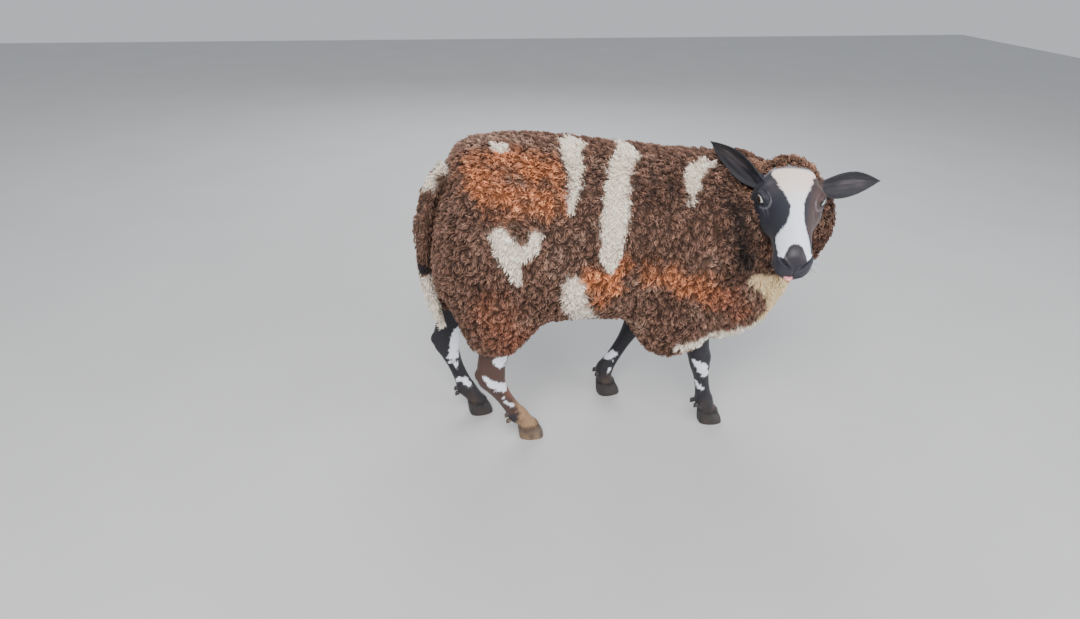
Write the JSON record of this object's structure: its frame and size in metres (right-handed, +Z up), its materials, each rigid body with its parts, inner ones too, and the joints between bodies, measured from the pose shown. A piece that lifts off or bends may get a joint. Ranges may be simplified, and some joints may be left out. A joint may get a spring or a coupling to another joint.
{
  "type": "dutch spotted ram",
  "caption": "Still life-size model of a standing spotted ram in full fleece, its neck bent so that it looks over its right side.",
  "frame": {"origin": "on the floor, under the middle of the whole box", "axes": "+X the way the body faces, +Y the ram's left, +Z up"},
  "size_m": [1.0194, 0.5554, 0.7857],
  "materials": {
    "fleece": "curly wool, brown with cream patches",
    "hair": "short black hair with white marks",
    "horn": "worn grey-brown claw",
    "eye": "wet dark eye",
    "tongue": "moist pink"
  },
  "bodies": {
    "root": {"torso": "fleece", "neck": "fleece", "thigh_right": "fleece", "thigh_left": "fleece", "arm_right": "fleece", "arm_left": "fleece", "tail": "fleece", "scrotum": "fleece", "head": "hair", "ear_right": "hair", "ear_left": "hair", "front_leg_right": "hair", "front_leg_left": "hair", "hind_leg_right": "hair", "hind_leg_left": "hair", "eye_right": "eye", "eye_left": "eye", "tongue": "tongue", "front_claw_outer_right": "horn", "front_claw_inner_right": "horn", "front_claw_outer_left": "horn", "front_claw_inner_left": "horn", "hind_claw_outer_right": "horn", "hind_claw_inner_right": "horn", "hind_claw_outer_left": "horn", "hind_claw_inner_left": "horn", "front_dewclaw_outer_right": "horn", "front_dewclaw_inner_right": "horn", "front_dewclaw_outer_left": "horn", "front_dewclaw_inner_left": "horn", "hind_dewclaw_outer_right": "horn", "hind_dewclaw_inner_right": "horn", "hind_dewclaw_outer_left": "horn", "hind_dewclaw_inner_left": "horn"}
  },
  "joints": []
}
